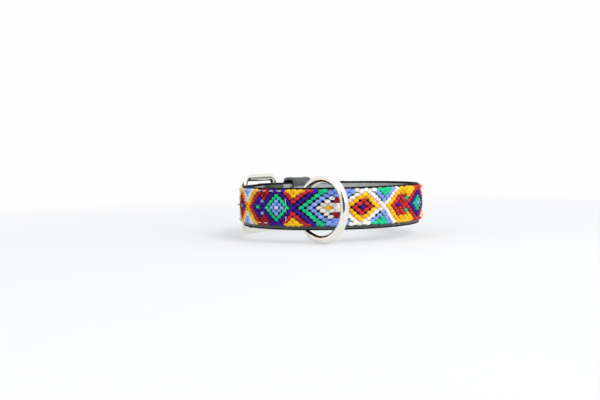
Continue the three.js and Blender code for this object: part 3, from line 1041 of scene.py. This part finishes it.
def edge_seam(start, end, z, height):
    """A row of running stitches along the band, dashes little longer than the gaps between them."""
    parts = []
    count = int(abs(end - start) / STITCH)
    for number in range(count):
        low = start + (end - start) * (number + STITCH_START_SHARE) / count
        high = start + (end - start) * (number + STITCH_END_SHARE) / count
        path = []
        for share, drop in STITCH_DIVE:
            path.append(on_strap(low + (high - low) * share, height - drop, z))
        parts.append(tube(path, FINE_THREAD / 2))
    return parts


def thread_piece(name, parts, material):
    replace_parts(make(name + "_thread", merge(parts), "strap", [material]), name)


def build_threads():
    low, high = BAND_BOTTOM + SEAM_MARGIN, BAND_TOP - SEAM_MARGIN
    face = BAND_OUT + FINE_THREAD * STITCH_STAND_SHARE
    left_row, right_row = BAND_END - SEAM_END_MARGIN, BAND_START + SEAM_END_MARGIN
    front_row = FRONT + FRONT_SEAM_OFFSET
    # Each seam across the band, and where the row along its upper edge starts, its lower row, and
    # where both end
    front_start = front_row + FRONT_ROW_START
    right_start = right_row + EDGE_ROW_GAP
    seams = (
        ("seam_right", right_row, (right_start, right_start, right_start + RIGHT_ROW_LENGTH)),
        ("seam_front", front_row, (front_start, front_start + LOWER_ROW_START, left_row - EDGE_ROW_GAP)),
        ("seam_left", left_row, None),
    )
    for name, along, rows in seams:
        parts = cross_seam(along, 0, BAND_OUT, low, high, FINE_THREAD)
        if rows:
            upper_start, lower_start, end = rows
            parts += edge_seam(lower_start, end, BAND_BOTTOM + LOWER_ROW_MARGIN, face)
            parts += edge_seam(upper_start, end, BAND_TOP - UPPER_ROW_MARGIN, face)
        thread_piece(name, parts, WHITE_THREAD)
    flap_in = FLAP_MID - LEATHER / 2
    low, high = BOTTOM + SEAM_MARGIN, TOP - SEAM_MARGIN
    for name, along in FOLD_SEAMS:
        parts = cross_seam(along, flap_in, LEATHER_OUT, low, high, THREAD)
        thread_piece(name, parts, DARK_THREAD)


# The keeper, with a line of stitches along each edge

KEEPER_EDGE = 0.7
KEEPER_STITCHES = 24
KEEPER_STITCH_SHARE = 0.7
KEEPER_STITCH_STEPS = 5
KEEPER_STITCH_MARGIN = 1.9
KEEPER_STITCH_RADIUS = 0.28
KEEPER_STITCH_STAND = 0.02
NECK_SIDE_MARGIN, FLAT_MARGIN = 0.5, 0.3


def keeper_outline(grow):
    inner = min(FLAP_MID - LEATHER / 2 - THREAD - CLEARANCE, 0)
    low = inner - KEEPER_FACE_PLAY - grow
    high = OVER_STRAP + LEATHER_OUT + KEEPER_FACE_PLAY + grow
    half = STRAP_WIDTH / 2 + KEEPER_SIDE_PLAY + grow
    corner = KEEPER_CORNER - KEEPER_LEATHER / 2 + grow
    section = rounded_section(2 * half, high - low, corner, 8, 10)
    middle = (low + high) / 2
    return [(middle + up, across) for across, up in section]


def build_keeper():
    inside = keeper_outline(0)
    outside = keeper_outline(KEEPER_LEATHER)
    rings = []
    section = rounded_section(KEEPER_WIDTH, KEEPER_LEATHER, KEEPER_EDGE)
    for (low_height, low_z), (high_height, high_z) in zip(inside, outside):
        ring = []
        for across, up in section:
            share = up / KEEPER_LEATHER + 0.5
            height = low_height + (high_height - low_height) * share
            z = low_z + (high_z - low_z) * share
            ring.append(bend(KEEPER_PLACE + across, height, CENTRE + z))
        rings.append(ring)
    kinds = []
    for place in range(len(inside)):
        (height, z), (next_height, next_z) = inside[place], inside[(place + 1) % len(inside)]
        beside = max(abs(z), abs(next_z)) < STRAP_WIDTH / 2 - NECK_SIDE_MARGIN
        to_neck = height < 0 and next_height < 0 and beside
        for (_, up), (_, next_up) in zip(section, section[1:] + section[:1]):
            flat = min(up, next_up) > KEEPER_LEATHER / 2 - FLAT_MARGIN
            kinds.append(1 if to_neck and flat else 0)
    shape = loft(rings, closed_line=True)
    piece = make("keeper_loop", shape, "keeper", [BLACK, GREY], kinds)
    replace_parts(piece, "keeper")
    build_keeper_stitches()


def build_keeper_stitches():
    surface = keeper_outline(KEEPER_LEATHER + KEEPER_STITCH_STAND)
    pairs = list(zip(surface, surface[1:] + surface[:1]))
    lengths = [0.0]
    for (h0, z0), (h1, z1) in pairs:
        lengths.append(lengths[-1] + math.hypot(h1 - h0, z1 - z0))
    total = lengths[-1]

    def at(length):
        length %= total
        for ((h0, z0), (h1, z1)), before, after in zip(pairs, lengths, lengths[1:]):
            if length <= after:
                share = (length - before) / max(TINY, after - before)
                return h0 + (h1 - h0) * share, z0 + (z1 - z0) * share
        return surface[0]

    parts = []
    for side in (-1, 1):
        row = KEEPER_PLACE + side * (KEEPER_WIDTH / 2 - KEEPER_STITCH_MARGIN)
        for number in range(KEEPER_STITCHES):
            start = total * number / KEEPER_STITCHES
            path = []
            for step in range(KEEPER_STITCH_STEPS + 1):
                reach = total / KEEPER_STITCHES * KEEPER_STITCH_SHARE * step / KEEPER_STITCH_STEPS
                height, z = at(start + reach)
                path.append(bend(row, height, CENTRE + z))
            parts.append(tube(path, KEEPER_STITCH_RADIUS, 6))
    make("keeper_stitches", merge(parts), "keeper", [DARK_THREAD])


# Metal

FRAME_STEPS = 12
CAST_SIDES = 24
CAST_FULLNESS, BAR_FULLNESS = 0.78, 0.22
COLLAR_CORNER = 0.7
COLLAR_STEPS = 48
RING_STEPS, RING_SIDES = 128, 28


def cast_section(half_wide, half_thick, fullness):
    """A section between an ellipse, at a fullness of 1, and a rounded box."""
    corners = []
    for angle in circle(CAST_SIDES):
        x, y = math.cos(angle), math.sin(angle)
        across = half_wide * math.copysign(abs(x) ** fullness, x)
        corners.append((across, half_thick * math.copysign(abs(y) ** fullness, y)))
    return corners


def frame_stops():
    """Places round the frame's middle line: how far ahead of the heel bar and up from its middle,
    and the angle of the way outward there."""
    side_middle = STRAP_WIDTH / 2 + FRAME_SIDE_GAP + FRAME_SIDE_WIDTH / 2
    heel_corner = side_middle - STRAP_WIDTH / 2 - CLEARANCE
    heel_up = side_middle - heel_corner
    end_ahead, end_up = FRAME_LENGTH - FRAME_CORNER, side_middle - FRAME_CORNER
    corners = [
        (heel_corner, heel_up, heel_corner, math.pi),
        (end_ahead, end_up, FRAME_CORNER, math.pi / 2),
        (end_ahead, -end_up, FRAME_CORNER, 0),
        (heel_corner, -heel_up, heel_corner, -math.pi / 2),
    ]
    stops = []
    for (ahead, up, radius, start), following in zip(corners, corners[1:] + corners[:1]):
        for step in range(FRAME_STEPS + 1):
            turn = start - math.pi / 2 * step / FRAME_STEPS
            stops.append((ahead + radius * math.cos(turn), up + radius * math.sin(turn), turn))
        last_ahead, last_up, last_turn = stops[-1]
        ahead, up, radius, start = following
        run = ahead + radius * math.cos(start) - last_ahead
        climb = up + radius * math.sin(start) - last_up
        for step in range(1, FRAME_STEPS):
            share = step / FRAME_STEPS
            stops.append((last_ahead + run * share, last_up + climb * share, last_turn))
    return stops


def build_frame():
    rings = []
    for ahead, up, turn in frame_stops():
        heel = ease(max(0, -math.cos(turn)))
        end = ease(max(0, math.cos(turn)))
        side = 1 - heel - end
        half_wide = BAR_RADIUS * heel + FRAME_END_WIDTH / 2 * end + FRAME_SIDE_WIDTH / 2 * side
        half_thick = BAR_RADIUS * heel + FRAME_THICKNESS / 2 * (1 - heel)
        height = BAR_HEIGHT + FRAME_RISE * ease(ahead / FRAME_LENGTH)
        fullness = CAST_FULLNESS + BAR_FULLNESS * heel
        ring = []
        for across, thick in cast_section(half_wide, half_thick, fullness):
            z = CENTRE + up + across * math.sin(turn)
            ring.append(bend(-(ahead + across * math.cos(turn)), height + thick, z))
        rings.append(ring)
    piece = make("buckle_casting", loft(rings, closed_line=True), "buckle", [NICKEL])
    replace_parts(piece, "buckle_frame")


def build_prong():
    bar = bend(0, BAR_HEIGHT, 0)
    middle = BAR_RADIUS + CLEARANCE + PRONG_COLLAR / 2
    section = rounded_section(PRONG_COLLAR_WIDTH, PRONG_COLLAR, COLLAR_CORNER, 5, 4)
    rings = []
    for angle in circle(COLLAR_STEPS):
        way = Vector((math.cos(angle), math.sin(angle), 0))
        rings.append([bar + way * (middle + up) + Vector((0, 0, CENTRE + z)) for z, up in section])
    shape = merge([prong_arm(0), loft(rings, closed_line=True)])
    piece = make("prong", shape, "prong", [NICKEL])
    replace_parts(piece, "buckle_prong")


def build_ring():
    along = FRONT + RING_OFFSET
    bearing = (BAR_BACK - along) / PATH_RADIUS
    forward = Vector((math.cos(bearing), math.sin(bearing), 0))
    outward = Vector((-math.sin(bearing), math.cos(bearing), 0))
    turn, lean = math.radians(RING_TURN), math.radians(RING_LEAN)
    level = -forward * math.sin(turn) - outward * math.cos(turn)
    up = Vector((0, 0, math.cos(lean))) + level * math.sin(lean)
    axis = level * math.cos(lean) - Vector((0, 0, math.sin(lean)))
    flat = axis.cross(up)
    centre = bend(along, BAND_OUT / 2, RING_CENTRE)
    rings = []
    for angle in circle(RING_STEPS):
        way = flat * math.cos(angle) + up * math.sin(angle)
        ring = []
        for spin in circle(RING_SIDES):
            out = way * (RING_RADIUS + RING_WIRE / 2 * math.cos(spin))
            ring.append(centre + out + axis * RING_WIRE / 2 * math.sin(spin))
        rings.append(ring)
    piece = make("ring_wire", loft(rings, closed_line=True), "ring", [NICKEL])
    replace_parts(piece, "ring")


# The floor and the lamps, in metres, and the camera

FLOOR_REACH = 4
FAR_START, FAR_END, NEAR_WHITE = 0.08, 0.5, 0.42
WORLD_COLOUR, WORLD_STRENGTH = (0.96, 0.98, 1, 1), 0.5
DARK_WAY = (-0.45, -0.87, 0.2)
DARK_START, DARK_END, DARKNESS = 0.8, 0.92, 0.9
LAMP_AIM = Vector((0, 0, 0.02))
# Each lamp's name, place, side and power
LAMPS = (
    ("key", (0.6, -0.7, 0.85), 0.9, 11.4),
    ("fill", (-0.7, -0.4, 0.8), 0.9, 1.6),
    ("back", (0.1, 0.55, 0.95), 1.5, 2.8),
)


def build_floor():
    corners = [(x * FLOOR_REACH, y * FLOOR_REACH, 0) for x, y in ((-1, -1), (1, -1), (1, 1), (-1, 1))]
    mesh = bpy.data.meshes.new("floor")
    mesh.from_pydata(corners, [], [(0, 1, 2, 3)])
    floor = add_object("floor", mesh)
    nodes = Nodes("white_paper", roughness=0.9)
    tone = nodes.noise(3, detail=2)
    nodes.set(Base_Color=nodes.ramp(tone, [(0.3, srgb(226, 229, 232)), (0.7, srgb(232, 234, 236))]))
    # Seen from far off the paper goes as white as the backdrop, and lights nothing
    reach = nodes.add("ShaderNodeVectorMath", {0: nodes.place}, operation="LENGTH")
    far = nodes.span(reach.outputs["Value"], FAR_START, FAR_END, NEAR_WHITE, 1)
    seen, _ = nodes.sight()
    white = nodes.light("ShaderNodeEmission", PAPER_WHITE, 1)
    surface = nodes.mix(nodes.maths("MULTIPLY", far, seen), nodes.shader.outputs["BSDF"], white)
    nodes.fill(nodes.tree.nodes["Material Output"], {"Surface": surface})
    mesh.materials.append(nodes.material)


def build_world():
    world = bpy.data.worlds.new("studio")
    bpy.context.scene.world = world
    world.use_nodes = True
    world.node_tree.nodes.clear()
    nodes = Tree(world.node_tree, "Generated")
    seen, mirrored = nodes.sight()
    light = nodes.light("ShaderNodeBackground", WORLD_COLOUR, WORLD_STRENGTH)
    # Metal also mirrors a dark side of the room
    ways = {0: nodes.place, 1: Vector(DARK_WAY).normalized()}
    towards = nodes.add("ShaderNodeVectorMath", ways, operation="DOT_PRODUCT")
    dark = nodes.span(towards.outputs["Value"], DARK_START, DARK_END, 0.0, DARKNESS)
    strength = nodes.maths("SUBTRACT", 1.0, nodes.maths("MULTIPLY", dark, mirrored))
    backdrop = nodes.light("ShaderNodeBackground", PAPER_WHITE, strength)
    nodes.add("ShaderNodeOutputWorld", {"Surface": nodes.mix(seen, light, backdrop)})


def stand(name, data, place, turn):
    """A lamp or camera at a place in metres, turned by a quaternion."""
    holder = add_object(name, data)
    holder.location = place
    holder.rotation_mode = "QUATERNION"
    holder.rotation_quaternion = turn
    return holder


def build_lamps():
    for name, place, side, power in LAMPS:
        lamp = bpy.data.lights.new(name, "AREA")
        lamp.size = side
        lamp.energy = power
        stand(name, lamp, place, (LAMP_AIM - Vector(place)).to_track_quat("-Z", "Y"))


SENSOR = 36.0
IMAGE_WIDTH = 600
FOCAL_PIXELS = 886
CAMERA_DISTANCE = 515
CAMERA_SIDEWAYS = -19.9
CAMERA_HEIGHT = 53.6
CAMERA_PITCH = 3.04
CAMERA_ROLL = -1.2
CAMERA_CLIP = 10


def build_camera():
    camera = bpy.data.cameras.new("camera")
    camera.sensor_width = SENSOR
    camera.lens = FOCAL_PIXELS / IMAGE_WIDTH * SENSOR
    camera.clip_start = CAMERA_CLIP * MM
    front = AXIS.y - OUTER_RADIUS
    place = Vector((AXIS.x + CAMERA_SIDEWAYS, front - CAMERA_DISTANCE, CAMERA_HEIGHT))
    tilt = Matrix.Rotation(math.radians(90 - CAMERA_PITCH), 4, "X")
    turn = tilt @ Matrix.Rotation(math.radians(CAMERA_ROLL), 4, "Z")
    bpy.context.scene.camera = stand("camera", camera, place * MM, turn.to_quaternion())


build_camera()
build_floor()
build_world()
build_lamps()
build_leather()
build_lining()
build_knots()
build_shaded_ground()
build_threads()
build_keeper()
build_frame()
build_prong()
build_ring()

bpy.context.scene.view_settings.view_transform = "Standard"
